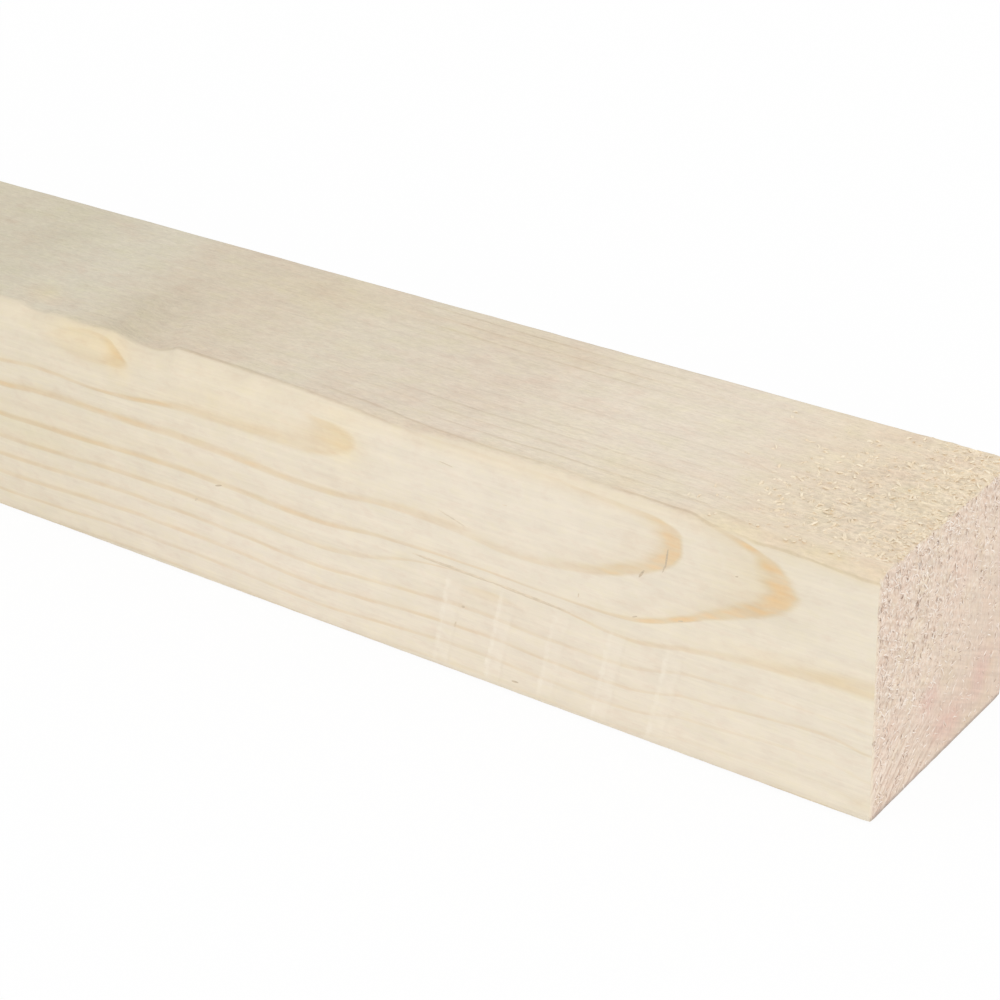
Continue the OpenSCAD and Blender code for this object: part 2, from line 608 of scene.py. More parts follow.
def hollow_drop(back, depth):
    """How far the hollows in the worn arris lie below the top face."""
    drop = np.zeros(np.shape(back))
    for hollow in HOLLOWS:
        radius = (hollow["run"] ** 2 / 4 + hollow["depth"] ** 2) / (2 * hollow["depth"])
        skew = math.radians(hollow["skew"])
        away = back - hollow["back"]
        inward = away * math.sin(skew) + depth * math.cos(skew)
        across = away * math.cos(skew) - depth * math.sin(skew)
        across = np.where(across < 0, across * hollow["steep"], across)
        floor = hollow["depth"] * (1.0 - inward / hollow["reach"])
        rise = radius - np.sqrt(np.maximum(0.0, radius**2 - across**2))
        rise = np.where(np.abs(across) < radius, rise, radius)
        drop = np.maximum(drop, floor - rise)
    return np.maximum(drop, 0.0)


def past_planed_edge(back, depth, height):
    """Distance past the edge of the smooth front face: negative on it, positive on the sawn faces."""
    farthest = 20.0
    over_arris = depth - (HEIGHT - height) - along(PLANED_EDGE, back)
    return np.clip(np.maximum(over_arris, -height), -farthest, farthest)


def torn_share(back, depth):
    """How torn the top face's fibres are, from 0 to 1, towards the near end."""
    limit = TORN_LIMIT - TORN_LIMIT_DROP * smoothstep(*TORN_LIMIT_DEPTHS, depth)
    low, high = [start + slope * back for start, slope in zip(TORN_BEGIN, TORN_BEGIN_SLOPE)]
    from_arris = lifted(TORN_FROM_ARRIS, smoothstep(low, high, depth))
    return smoothstep(limit, limit - TORN_FADE, back) * from_arris


def bar_turn(back, height):
    """Turn about the feed roller's marks: a full turn from one bar to the next, none in a bar's middle."""
    return 2 * math.pi * (back - BAR_FIRST - BAR_LEAN * (BAR_HIGH - height)) / BAR_PITCH


def bar_share(back, depth, height):
    """How strongly the feed roller's bars pressed the front face at a place, from 0 to 1."""
    number = bar_turn(back, height) / (2 * math.pi)
    last = BAR_COUNT - BAR_GAP
    among_bars = smoothstep(-BAR_GAP, BAR_GAP_FADE - BAR_GAP, number)
    among_bars = among_bars * smoothstep(last, last - BAR_GAP_FADE, number)
    ends = smoothstep(*BAR_LOW_FADE, height) * smoothstep(*BAR_HIGH_FADE, height)
    uneven = BAR_MEAN + layered(points_at(back, np.zeros_like(back), height), BAR_NOISE)
    return among_bars * ends * along(BAR_STRENGTHS, back) * uneven * (depth < SAWN_ARRIS)


def roller_bars(back, depth, height):
    """Where the feed roller's bars pressed the front face, from 0 to 1."""
    turn = bar_turn(back, height)
    distance = np.abs(np.arctan2(np.sin(turn), np.cos(turn))) * BAR_PITCH / (2 * math.pi)
    return smoothstep(BAR_HALF + BAR_EDGE, BAR_HALF - BAR_EDGE, distance) * bar_share(back, depth, height)


def side_relief(back, depth, height):
    """Height of the fine relief on the long faces, outwards, in millimetres."""
    place = points_at(back, depth, height)
    sawn = smoothstep(-RELIEF_BLEND, RELIEF_BLEND, past_planed_edge(back, depth, height))
    torn = torn_share(back, depth) * smoothstep(*TOP_ZONE, height) * sawn
    ripple_turn = 2 * math.pi * (back + RIPPLE_LEAN * height) / RIPPLE_PITCH
    ripple = np.sin(ripple_turn + layered(place, RIPPLE_WAVER))
    planed = layered(place, PLANED_RELIEF) + RIPPLE_HEIGHT * ripple
    relief = sawn * layered(place, SAWN_RELIEF) + (1.0 - sawn) * planed
    relief = relief - sum(layer[0] for layer in SAWN_RELIEF) * (height < SAWN_ARRIS)
    relief = relief - BAR_DEPTH * roller_bars(back, depth, height)
    relief = relief + torn * layered(place, TORN_RELIEF)
    ragged = lifted(END_WEAR_RAGGED, torn) * (1.0 + layered(place, END_WEAR_NOISE))
    return relief - smoothstep(END_WEAR, 0.0, back) * (END_WEAR_DEPTH + ragged)


def end_coarseness(depth, height):
    """How coarse the end grain is: most in the upper front corner, least in the lower back one."""
    return lifted(COARSENESS, smoothstep(*COARSE_RANGE, height - COARSE_SLOPE * depth))


def end_relief(depth, height):
    """Depth of the saw's tears in an end face, inwards, in millimetres."""
    place = points_at(np.zeros_like(depth), depth, height)
    pits = np.maximum(0.0, layered(place, END_PITS) - END_PIT_LEVEL)
    grain = END_GRAIN_MEAN + layered(place, END_GRAIN_RELIEF) + END_PIT_DEPTH * pits
    return end_coarseness(depth, height) * grain + layered(place, SAW_RELIEF) + SAW_RELIEF[0][0]


# The timber's mesh


def square_loop(counts):
    """Points round the square section, from its lower front corner up the front face."""
    front, top, rear, bottom = [np.linspace(0.0, 1.0, count, endpoint=False) for count in counts]
    depth = np.concatenate([0 * front, WIDTH * top, 0 * rear + WIDTH, WIDTH * (1 - bottom)])
    height = np.concatenate([HEIGHT * front, 0 * top + HEIGHT, HEIGHT * (1 - rear), 0 * bottom])
    around = np.concatenate([front, 1 + top, 2 + rear, 3 + bottom])
    return depth, height, around


def cap_grid(cells):
    """A grid of points over an end face, just inside its outline, and the loop round its edge."""
    line = np.linspace(CAP_INSET, WIDTH - CAP_INSET, cells + 1)
    depth, height = np.meshgrid(line, line * HEIGHT / WIDTH, indexing="ij")
    index = np.arange((cells + 1) ** 2).reshape(cells + 1, cells + 1)
    loop = np.concatenate([index[0, :-1], index[:-1, -1], index[-1, :0:-1], index[:0:-1, 0]])
    return depth.ravel(), height.ravel(), index, loop


def strip(first, second, first_around, second_around):
    """Triangles between two loops of different counts, which start at the same corner."""
    faces = []
    a, b = 0, 0
    first_end = np.append(first_around, 4.0)
    second_end = np.append(second_around, 4.0)
    while a < len(first) or b < len(second):
        here = first[a % len(first)]
        there = second[b % len(second)]
        take_first = b == len(second) or (a < len(first) and first_end[a + 1] <= second_end[b + 1])
        if take_first:
            faces.append((here, first[(a + 1) % len(first)], there))
            a += 1
        else:
            faces.append((here, second[(b + 1) % len(second)], there))
            b += 1
    return faces


class TimberMesh:
    """Collects the points and faces of the timber's closed mesh."""

    def __init__(self):
        self.moved = []
        self.flat = []
        self.arounds = []
        self.on_cap = []
        self.faces = []
        self.patches = []
        self.count = 0

    def add_points(self, moved, flat, around, on_cap):
        first = self.count
        self.count += len(moved)
        self.moved.append(moved)
        self.flat.append(flat)
        self.arounds.append(around)
        self.on_cap.append(np.full(len(moved), on_cap))
        return np.arange(first, self.count)

    def add_ring(self, back, loop):
        depth, height, around = loop
        depth, height, normal_depth, normal_height = round_arrises(depth, height)
        backs = np.full(len(depth), float(back))
        relief = side_relief(backs, depth, height)
        sink = hollow_drop(backs, depth) * smoothstep(*HOLLOW_FADE, height)
        moved = points_at(backs, depth + relief * normal_depth, height + relief * normal_height - sink)
        return self.add_points(moved, points_at(backs, depth, height), around, 0.0)

    def add_cap(self, back, inward, cells):
        depth, height, index, loop = cap_grid(cells)
        depth, height = round_arrises(depth, height)[:2]
        backs = np.full(len(depth), float(back))
        moved = points_at(backs + inward * end_relief(depth, height), depth, height)
        points = self.add_points(moved, points_at(backs, depth, height), 0 * depth, 1.0)
        return points[index], points[loop]

    def add_faces(self, faces, patch):
        self.faces.extend(faces)
        self.patches.extend([patch] * len(faces))

    def join_rings(self, rings, around, first_patch):
        sides = (first_patch + np.floor(around).astype(int)).tolist()
        for first, second in zip(rings, rings[1:]):
            quads = np.stack([first, np.roll(first, -1), np.roll(second, -1), second], axis=-1)
            self.faces.extend(quads.tolist())
            self.patches.extend(sides)


def build_timber():
    made = TimberMesh()
    near_loop = square_loop(NEAR_COUNTS)
    far_loop = square_loop(FAR_COUNTS)
    near_cap_around = square_loop([NEAR_CAP_CELLS] * 4)[2]
    far_cap_around = square_loop([FAR_CAP_CELLS] * 4)[2]
    torn_backs = np.arange(0.0, TORN_ZONE, TORN_STEP)
    shown_backs = np.arange(TORN_ZONE, SHOWN_ZONE, SHOWN_STEP)
    far_count = int((LENGTH - SHOWN_ZONE) / FAR_STEP)
    far_backs = np.linspace(SHOWN_ZONE + SHOWN_STEP, LENGTH, far_count)

    grid, near_edge = made.add_cap(0.0, 1.0, NEAR_CAP_CELLS)
    quads = np.stack([grid[:-1, :-1], grid[1:, :-1], grid[1:, 1:], grid[:-1, 1:]], axis=-1)
    made.add_faces(quads.reshape(-1, 4).tolist(), NEAR_CAP)
    near_rings = [made.add_ring(back, near_loop) for back in np.concatenate([torn_backs, shown_backs])]
    made.add_faces(strip(near_edge, near_rings[0], near_cap_around, near_loop[2]), NEAR_CAP)
    made.join_rings(near_rings, near_loop[2], NEAR_SIDES)
    far_rings = [made.add_ring(back, far_loop) for back in far_backs]
    arounds = np.concatenate(made.arounds)
    for face in strip(near_rings[-1], far_rings[0], near_loop[2], far_loop[2]):
        made.add_faces([face], FAR_SIDES + int(np.median(arounds[list(face)])))
    made.join_rings(far_rings, far_loop[2], FAR_SIDES)
    grid, far_edge = made.add_cap(LENGTH, -1.0, FAR_CAP_CELLS)
    made.add_faces(strip(far_rings[-1], far_edge, far_loop[2], far_cap_around), FAR_CAP)
    quads = np.stack([grid[:-1, :-1], grid[:-1, 1:], grid[1:, 1:], grid[1:, :-1]], axis=-1)
    made.add_faces(quads.reshape(-1, 4).tolist(), FAR_CAP)
    return made


def to_row(places):
    """Places on the timber, in millimetres, as points of the row frame in metres."""
    corner = np.array([cad_high.x, cad_low.y, cad_low.z])
    return corner + np.asarray(places, float) * np.array([-MM, MM, MM])


def add_object(name, data):
    made = bpy.data.objects.new(name, data)
    bpy.context.scene.collection.objects.link(made)
    return made


def add_mesh(name, points, faces):
    mesh = bpy.data.meshes.new(name)
    mesh.from_pydata(points, [], faces)
    mesh.update()
    return add_object(name, mesh)


def make_piece(name, places, faces):
    """A piece of the timber, with its points at places on the timber."""
    made = add_mesh(name, to_row(places).tolist(), faces)
    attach(made, BODY)
    return made


def add_field(mesh, name, values):
    field = mesh.attributes.new(name, "FLOAT", "POINT")
    field.data.foreach_set("value", np.asarray(values, np.float32))


def add_tint(mesh, name, colours):
    field = mesh.attributes.new(name, "FLOAT_COLOR", "POINT")
    opaque = np.ones((len(colours), 1))
    field.data.foreach_set("color", np.hstack([colours, opaque]).astype(np.float32).ravel())


def face_tone(tone, patches, back, across):
    """Shade, redness and yellowness of a face, from its run along the timber and its patches."""
    result = np.stack([along(tone, back, column) for column in (1, 2, 3)], axis=-1)
    for patch_back, patch_across, half_back, half_across, *change in patches:
        distance = np.hypot((back - patch_back) / half_back, (across - patch_across) / half_across)
        result = result + bell(distance)[:, None] * np.array(change)
    return result


def timber_tint(back, depth, height):
    """Colour that the wood's own colour is multiplied by, for each point."""
    on_front = smoothstep(RELIEF_BLEND, -RELIEF_BLEND, past_planed_edge(back, depth, height))[:, None]
    on_top = (height > HEIGHT - WORN_ARRIS)[:, None] * (1.0 - on_front)
    tone = on_front * face_tone(FRONT_TONE, FRONT_PATCHES, back, height)
    tone = tone + on_top * face_tone(TOP_TONE, TOP_PATCHES, back, depth)
    tone = tone + (1.0 - on_front - on_top) * np.array(REST_TONE)
    # Painted shade on the worn arris, with a change of its tone
    on_arris = smoothstep(*ARRIS_HEIGHTS, height) * smoothstep(*ARRIS_DEPTHS, depth)
    shade, red, yellow = (tone + on_arris[:, None] * np.array(ARRIS_SHADE_AND_TONE)).T
    return np.stack([shade * (1.0 + red), shade, shade * (1.0 - yellow)], axis=-1)


def set_bake_map(mesh, made):
    """Lays the faces out on the map that the surface is baked to: the shown length gets most of it."""
    gap = 0.004
    near_tall = 0.172
    far_tall = 0.034
    cap_wide = 0.136
    far_low = 4 * (near_tall + gap)
    cap_low = far_low + 4 * (far_tall + gap)
    corner_vertex = np.zeros(len(mesh.loops), np.int64)
    mesh.loops.foreach_get("vertex_index", corner_vertex)
    corner_count = np.zeros(len(mesh.polygons), np.int64)
    mesh.polygons.foreach_get("loop_total", corner_count)
    patch = np.repeat(np.array(made.patches), corner_count)
    back, depth, height = np.concatenate(made.flat)[corner_vertex].T
    around = np.concatenate(made.arounds)[corner_vertex]
    side = patch % 4
    closes = (side == 3) & (around < 0.5) & (patch < NEAR_CAP)
    across = np.clip(np.where(closes, around + 4.0, around) - side, 0.0, 1.0)
    is_far = (patch >= FAR_SIDES) & (patch < NEAR_CAP)
    near_share = back / (SHOWN_ZONE + SHOWN_STEP)
    far_share = (back - SHOWN_ZONE + SHOWN_STEP) / (LENGTH - SHOWN_ZONE + SHOWN_STEP)
    map_u = gap + (1 - 2 * gap) * np.clip(np.where(is_far, far_share, near_share), 0.0, 1.0)
    near_v = gap + side * (near_tall + gap) + near_tall * across
    far_v = far_low + gap + side * (far_tall + gap) + far_tall * across
    map_v = np.where(is_far, far_v, near_v)
    on_cap = patch >= NEAR_CAP
    map_u = np.where(on_cap, gap + cap_wide * depth / WIDTH + (patch == FAR_CAP) * (cap_wide + gap), map_u)
    map_v = np.where(on_cap, cap_low + gap + cap_wide * height / HEIGHT, map_v)
    layer = mesh.uv_layers.new(name="OFBake")
    layer.data.foreach_set("uv", np.stack([map_u, map_v], axis=-1).astype(np.float32).ravel())


def timber_fields(places, on_end):
    """Values that the materials read at each point: where it lies among the rings, faces and marks."""
    back, depth, height = places.T
    rings = ring_count(back, depth, height)
    past_edge = past_planed_edge(back, depth, height)
    side_late = by_ring(rings, back, 2, HIDDEN_RING_STRENGTH) * line_share(back, depth, height, rings)
    end_late = lifted(END_LATE, smoothstep(*END_LATE_RANGE, height + END_LATE_SLOPE * depth))
    line_width = by_ring(rings, back, 1, 1.0) * along(LINE_WIDTH, back)
    on_sawn_top = smoothstep(*TORN_BLEND, past_edge) * (height > HEIGHT - SAWN_ARRIS)
    turn = bar_turn(back, height)
    top_highlight = RIM_HIGHLIGHT_TOP_SHARE * smoothstep(*RIM_HIGHLIGHT_HEIGHTS, height)
    from_pith = depth + along(PITH, back, 1)
    pith_angle = np.arctan2(height - along(PITH, back, 2), from_pith)
    kerf_depth = depth - KERF_CENTRE_DEPTH
    kerf_height = height - KERF_CENTRE_HEIGHT
    kerf_radius = np.hypot(kerf_depth, kerf_height)
    blush = sum(
        bell(np.hypot((depth - blush_depth) / half_wide, (height - blush_height) / half_tall))
        for blush_depth, blush_height, half_wide, half_tall in BLUSHES
    )
    return {
        "ring": rings,
        "late": np.where(on_end, end_late, side_late),
        "wide": np.where(on_end, 1.0, line_width),
        "edge": past_edge,
        "torn": torn_share(back, depth) * on_sawn_top,
        "seam": smoothstep(*SEAM_FADE, back) * (height > HEIGHT / 2),
        "bar_sine": np.sin(turn),
        "bar_cosine": np.cos(turn),
        "bar_share": bar_share(back, depth, height),
        "coarse": end_coarseness(depth, height),
        "rim_highlight": np.maximum(smoothstep(*RIM_HIGHLIGHT_DEPTHS, depth), top_highlight),
        "foot_shadow": smoothstep(*FOOT_SHADOW_HEIGHTS, height),
        "slant_mm": height * math.cos(SLANT) + depth * math.sin(SLANT),
        "slope_mm": depth * math.cos(SLANT) - height * math.sin(SLANT),
        "ring_mm": rings * RING_WIDTH,
        "arc_mm": pith_angle * from_pith,
        "kerf_mm": kerf_radius,
        "kerf_arc_mm": np.arctan2(kerf_depth, kerf_height) * kerf_radius,
        "kerf": smoothstep(*KERF_HEIGHTS, height + KERF_SLOPE * depth) * smoothstep(*KERF_DEPTHS, depth),
        "blush": np.clip(BLUSH_SHARE * blush + layered(places, BLUSH_NOISE), 0.0, 1.0),
    }


# Materials


class Shader:
    """The nodes of a material or a world, and short ways to add to them."""

    def __init__(self, owner):
        self.owner = owner
        owner.use_nodes = True
        self.tree = owner.node_tree
        self.tree.nodes.clear()

    def node(self, kind, inputs=None, **settings):
        made = self.tree.nodes.new(kind)
        for key, value in settings.items():
            setattr(made, key, value)
        for key, value in (inputs or {}).items():
            if isinstance(value, bpy.types.NodeSocket):
                self.tree.links.new(value, made.inputs[key])
            else:
                made.inputs[key].default_value = value
        return made

    def field(self, name, output="Fac"):
        return self.node("ShaderNodeAttribute", attribute_name=name).outputs[output]

    def camera_ray(self):
        return self.node("ShaderNodeLightPath").outputs["Is Camera Ray"]

    def math(self, operation, *values):
        """The values taken one after the other."""
        result = values[0]
        for value in values[1:]:
            result = self.node("ShaderNodeMath", {0: result, 1: value}, operation=operation).outputs[0]
        return result

    def total(self, *values):
        return self.math("ADD", *values)

    def times(self, *values):
        return self.math("MULTIPLY", *values)

    def minus(self, first, second):
        return self.math("SUBTRACT", first, second)

    def distance(self, first, second):
        return self.math("ABSOLUTE", self.minus(first, second), 0.0)

    def spread(self, value, width):
        """A value from 0 to 1 made to swing about 0, over the given width."""
        return self.times(self.minus(value, 0.5), width)

    def map_range(self, value, low, high, to_low=0.0, to_high=1.0):
        inputs = {"Value": value, "From Min": low, "From Max": high, "To Min": to_low, "To Max": to_high}
        return self.node("ShaderNodeMapRange", inputs, interpolation_type="SMOOTHSTEP").outputs["Result"]

    def noise_at(self, place, cell_size, detail, roughness):
        scale = [1.0 / size for size in cell_size]
        vector = self.node("ShaderNodeVectorMath", {0: place, 1: scale}, operation="MULTIPLY").outputs[0]
        inputs = {"Vector": vector, "Scale": 1.0, "Detail": detail, "Roughness": roughness}
        return self.node("ShaderNodeTexNoise", inputs).outputs["Fac"]

    def noise(self, cell_size, detail=2.0, roughness=0.5):
        """Noise over the timber, with cells of the given size in millimetres."""
        place = self.node("ShaderNodeTexCoord").outputs["Object"]
        return self.noise_at(place, [MM * size for size in cell_size], detail, roughness)

    def rows(self, across_field, along_field, across, length, detail, roughness=0.65):
        """Noise in rows that run along one field, across another; cells are in millimetres."""
        inputs = {0: self.field(across_field), 1: self.field(along_field), 2: 0.0}
        place = self.node("ShaderNodeCombineXYZ", inputs).outputs[0]
        return self.noise_at(place, (across, length, 1.0), detail, roughness)

    def ramp(self, factor, stops, interpolation="LINEAR"):
        made = self.node("ShaderNodeValToRGB", {"Fac": factor})
        made.color_ramp.interpolation = interpolation
        elements = made.color_ramp.elements
        while len(elements) < len(stops):
            elements.new(0.5)
        for element, (position, colour) in zip(elements, stops):
            element.position = position
            element.color = colour
        return made.outputs["Color"]

    def mix(self, factor, first, second, blend="MIX"):
        inputs = {0: factor, 6: first, 7: second}
        return self.node("ShaderNodeMix", inputs, data_type="RGBA", blend_type=blend).outputs[2]

    def level(self, value):
        """A grey of the given value."""
        return self.node("ShaderNodeCombineColor", {0: value, 1: value, 2: value}).outputs[0]

    def tint(self, colour, other):
        """The colour times another."""
        return self.mix(1.0, colour, other, "MULTIPLY")

    def vary(self, colour, value, low, high, dark, bright):
        """The colour shaded from dark to bright while a value goes from low to high."""
        return self.tint(colour, self.level(self.map_range(value, low, high, dark, bright)))

    def stain(self, colour, other, *shares):
        """The colour under a share of another, which is written from 0 to 255."""
        return self.mix(self.times(*shares), colour, srgb(*other))

    def finish(self, colour, roughness, specular, height=None):
        inputs = {"Base Color": colour, "Roughness": roughness, "Specular IOR Level": specular}
        if height is not None:
            relief = self.node("ShaderNodeBump", {"Height": height, "Distance": MM, "Strength": 1.0})
            inputs["Normal"] = relief.outputs[0]
        surface = self.node("ShaderNodeBsdfPrincipled", inputs)
        self.node("ShaderNodeOutputMaterial", {"Surface": surface.outputs[0]})
        return self.owner


def new_material(name):
    return Shader(bpy.data.materials.new(name))


# Darkness of the wood through one ring, from its early wood to its late wood
RING_DARKNESS = [(0.0, 0.0), (0.6, 0.0), (0.82, 0.18), (0.91, 1.0), (0.95, 0.95), (1.0, 0.0)]
RING_PROFILE = [(place, grey(darkness)) for place, darkness in RING_DARKNESS]
# Colours of the wood from early to late wood, colours that it is multiplied by in soft patches, and
# colours of splinters and marks by their tone; the splinters' darkest tones colour the slits of painted
# shadow
FRONT_WOOD = stops((0.0, 238, 227, 208), (0.55, 231, 213, 184), (1.0, 237, 205, 161))
TOP_WOOD = stops((0.0, 238, 226, 208), (1.0, 199, 178, 147))
END_WOOD = stops((0.0, 233, 214, 196), (0.5, 224, 203, 183), (1.0, 202, 174, 152))
BLOTCHES = stops((0.3, 252, 249, 248), (0.5, 255, 255, 255), (0.7, 255, 255, 251))
CLOUDS = stops((0.3, 253, 249, 248), (0.5, 255, 255, 255), (0.7, 254, 255, 250))
END_PATCHES = stops((0.3, 255, 252, 251), (0.5, 255, 255, 255), (0.7, 255, 255, 250))
TOP_SPLINTERS_AND_SHADOWS = stops((0.0, 212, 190, 159), (0.5, 236, 219, 192), (1.0, 249, 238, 216))
END_SPLINTERS_AND_SHADOWS = stops((0.0, 172, 145, 126), (0.5, 230, 210, 194), (1.0, 254, 246, 237))
MARKS = stops((0.0, 227, 211, 187), (1.0, 165, 138, 106))


def latewood(shader, waver):
    """How much of the dark latewood shows, from the ring field."""
    fine = shader.spread(shader.noise((14, 2.2, 2.2)), waver)
    part = shader.math("FRACT", shader.total(shader.field("ring"), fine), 0.0)
    left = shader.math("DIVIDE", shader.minus(1.0, part), shader.field("wide"))
    dark = shader.ramp(shader.minus(1.0, left), RING_PROFILE, "EASE")
    broken = shader.map_range(shader.noise((12, 2.5, 2.5)), 0.35, 0.65, 0.6, 1.0)
    return shader.times(dark, shader.field("late"), broken)


def long_face_material():
    shader = new_material("sawn_spruce_faces")
    ragged = shader.spread(shader.noise((7, 1.0, 1.0), 3), 1.8)
    edge = shader.total(shader.field("edge"), ragged)
    sawn = shader.map_range(edge, -1.2, 1.0)
    late = latewood(shader, waver=0.07)
    colour = shader.mix(sawn, shader.ramp(late, FRONT_WOOD), shader.ramp(late, TOP_WOOD))
    colour = shader.tint(colour, shader.field("tint", "Color"))
    seam = shader.map_range(shader.distance(edge, 0.3), 0.15, 0.7, 1.0, 0.0)
    colour = shader.stain(colour, (200, 182, 146), seam, shader.field("seam"), 0.4)

    streak = shader.noise((45, 0.8, 0.8), 3, 0.6)
    colour = shader.vary(colour, streak, 0.2, 0.8, 0.974, 1.024)
    mottle = shader.noise((9, 5, 5), 3, 0.6)
    colour = shader.vary(colour, mottle, 0.25, 0.75, 0.968, 1.025)
    blotch = shader.noise((5, 2.2, 2.2), 3, 0.65)
    colour = shader.tint(colour, shader.ramp(blotch, BLOTCHES))
    fleck = shader.noise((2.2, 0.6, 0.6), 3, 0.65)
    rough_colour = shader.vary(colour, fleck, 0.25, 0.75, 0.937, 1.055)
    cloud = shader.noise((13, 8, 8), 3, 0.6)
    rough_colour = shader.tint(rough_colour, shader.ramp(cloud, CLOUDS))
    colour = shader.mix(sawn, colour, rough_colour)
    torn = shader.field("torn")
    chip = shader.noise((1.8, 0.9, 0.9), 2, 0.6)
    colour = shader.mix(torn, colour, shader.vary(colour, chip, 0.25, 0.75, 0.86, 1.1))

    turn = shader.math("ARCTAN2", shader.field("bar_sine"), shader.field("bar_cosine"))
    wander = shader.spread(shader.noise((2.0, 2.0, 2.5), 3, 0.65), 2.2)
    bar_place = shader.total(shader.times(turn, BAR_PITCH / (2 * math.pi)), wander)
    worn = shader.map_range(shader.noise((3.0, 3.0, 2.5)), 0.35, 0.65, 0.3, 1.0)
    pressed = shader.times(shader.field("bar_share"), worn)
    # The bars' pale floors, and painted highlights and painted shades along their edges
    for place, near, far, strength, stain in BAR_STAIN_AND_SHADING:
        share = shader.map_range(shader.distance(bar_place, place), near, far, 1.0, 0.0)
        colour = shader.stain(colour, stain, share, pressed, strength)

    rough_height = shader.times(fleck, shader.map_range(sawn, 0.0, 1.0, 0.02, 0.22))
    height = shader.total(rough_height, shader.times(streak, 0.1), shader.times(chip, torn, 0.5))
    return shader.finish(colour, roughness=0.72, specular=0.25, height=height)


def end_face_material():
    shader = new_material("sawn_spruce_end_grain")
    coarse = shader.field("coarse")
    colour = shader.ramp(latewood(shader, waver=0.3), END_WOOD)
    colour = shader.stain(colour, (231, 198, 185), shader.field("blush"))

    # Torn fibre ends stand in rows along the rings; their pale and dark strokes are partly the wood's own
    # flecks and partly painted highlight and painted shade of the torn relief
    grain = shader.rows("ring_mm", "arc_mm", 0.8, 1.3, 3)
    row = shader.map_range(shader.rows("ring_mm", "arc_mm", 1.8, 8.0, 2), 0.3, 0.65, 0.45, 1.0)
    pale = shader.map_range(grain, 0.51, 0.6)
    dark = shader.map_range(grain, 0.38, 0.47, 1.0, 0.0)
    colour = shader.stain(colour, (254, 247, 236), pale, coarse, row, 0.55)
    colour = shader.stain(colour, (186, 157, 136), dark, coarse, row, 0.33)
    colour = shader.vary(colour, coarse, 0.25, 1.0, 0.93, 1.0)
    colour = shader.tint(colour, shader.ramp(shader.noise((6, 6, 6)), END_PATCHES))

    # The saw left slanting rows, arcs in one corner and upright lines
    slant = shader.rows("slant_mm", "slope_mm", 1.0, 14.0, 3, 0.5)
    colour = shader.vary(colour, slant, 0.3, 0.7, 0.93, 1.05)
    kerf = shader.rows("kerf_mm", "kerf_arc_mm", 1.0, 26.0, 2, 0.5)
    kerf_dark = shader.map_range(kerf, 0.36, 0.5, 0.5, 0.0)
    kerf_pale = shader.map_range(kerf, 0.46, 0.58, 0.0, 0.6)
    colour = shader.stain(colour, (197, 165, 149), kerf_dark, shader.field("kerf"))
    colour = shader.stain(colour, (245, 229, 214), kerf_pale, shader.field("kerf"))
    saw = shader.noise((1.0, 0.5, 10.0))
    colour = shader.vary(colour, saw, 0.25, 0.75, 0.965, 1.03)
    # A painted highlight along the end's front and top edges
    colour = shader.stain(colour, (243, 231, 208), shader.field("rim_highlight"), 0.7)
    # A painted shadow along the end's bottom edge, where it meets the floor
    colour = shader.stain(colour, (160, 150, 145), shader.field("foot_shadow"), 0.6)
    height = shader.total(shader.times(grain, coarse, 0.5), shader.times(saw, 0.15))
    return shader.finish(colour, roughness=0.85, specular=0.15, height=height)


def sliver_material(name, colours, cell_size, dark, bright, roughness, specular):
    """Wood of splinters or marks, each coloured by its tone."""
    shader = new_material(name)
    colour = shader.ramp(shader.field("tone"), colours)
    colour = shader.vary(colour, shader.noise(cell_size), 0.25, 0.75, dark, bright)
    return shader.finish(colour, roughness, specular)


# The timber

timber = build_timber()
timber_body = make_piece("timber_body", np.concatenate(timber.moved), timber.faces)
mesh = timber_body.data
flat = np.concatenate(timber.flat)
for field_name, field_values in timber_fields(flat, np.concatenate(timber.on_cap) > 0).items():
    add_field(mesh, field_name, field_values)
add_tint(mesh, "tint", timber_tint(*flat.T))
set_bake_map(mesh, timber)
mesh.materials.append(long_face_material())
mesh.materials.append(end_face_material())
mesh.polygons.foreach_set("material_index", (np.array(timber.patches) >= NEAR_CAP).astype(np.int32))
mesh.shade_smooth()
mesh.set_sharp_from_angle(angle=SHARP_ANGLE)
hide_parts(NODE)

# Splinters: torn fibres on the top face near the end, and torn fibre ends on the near end, with dark slits
# of painted shadow among them

FIBRE_TAPER = (0.4, 1.0, 0.8, 0.12)
FIBRE_SIDES = 3
FIBRE_THICKNESS = 0.35
FIBRE_BEND = 0.9
FIBRE_CURL = (-0.15, 0.35)
STIFF_LIFT = 0.25
ROOT_SINK = 0.06
random = np.random.default_rng(7)
ALONG_BACK, ALONG_DEPTH, ALONG_HEIGHT = np.eye(3)
# Kinds of splinters, with ranges of their sizes: pale flakes, fine hairs and dark slits on the top;
# pale splinters on the end, and a dark slit of painted shadow beside each of them. The top's dark slits are
# painted shadow too
TOP_KINDS = [
    {"count": 430, "lift": (0.05, 0.4), "length": (0.7, 2.0), "width": (0.4, 0.85), "tone": (0.45, 0.88)},
    {"count": 400, "lift": (0.1, 0.6), "length": (0.5, 1.4), "width": (0.16, 0.32), "tone": (0.5, 0.95)},
    {"count": 300, "lift": (0.0, 0.05), "length": (0.5, 1.4), "width": (0.25, 0.45), "tone": (0.1, 0.45)},
]
END_KINDS = [
    {"count": 8500, "lift": (0.02, 0.15), "length": (0.8, 2.3), "width": (0.2, 0.36), "tone": (0.6, 1.0)},
    {"beside": 0.27, "lift": (0.0, 0.05), "length": (0.8, 2.2), "width": (0.16, 0.28), "tone": (0.06, 0.44)},
]
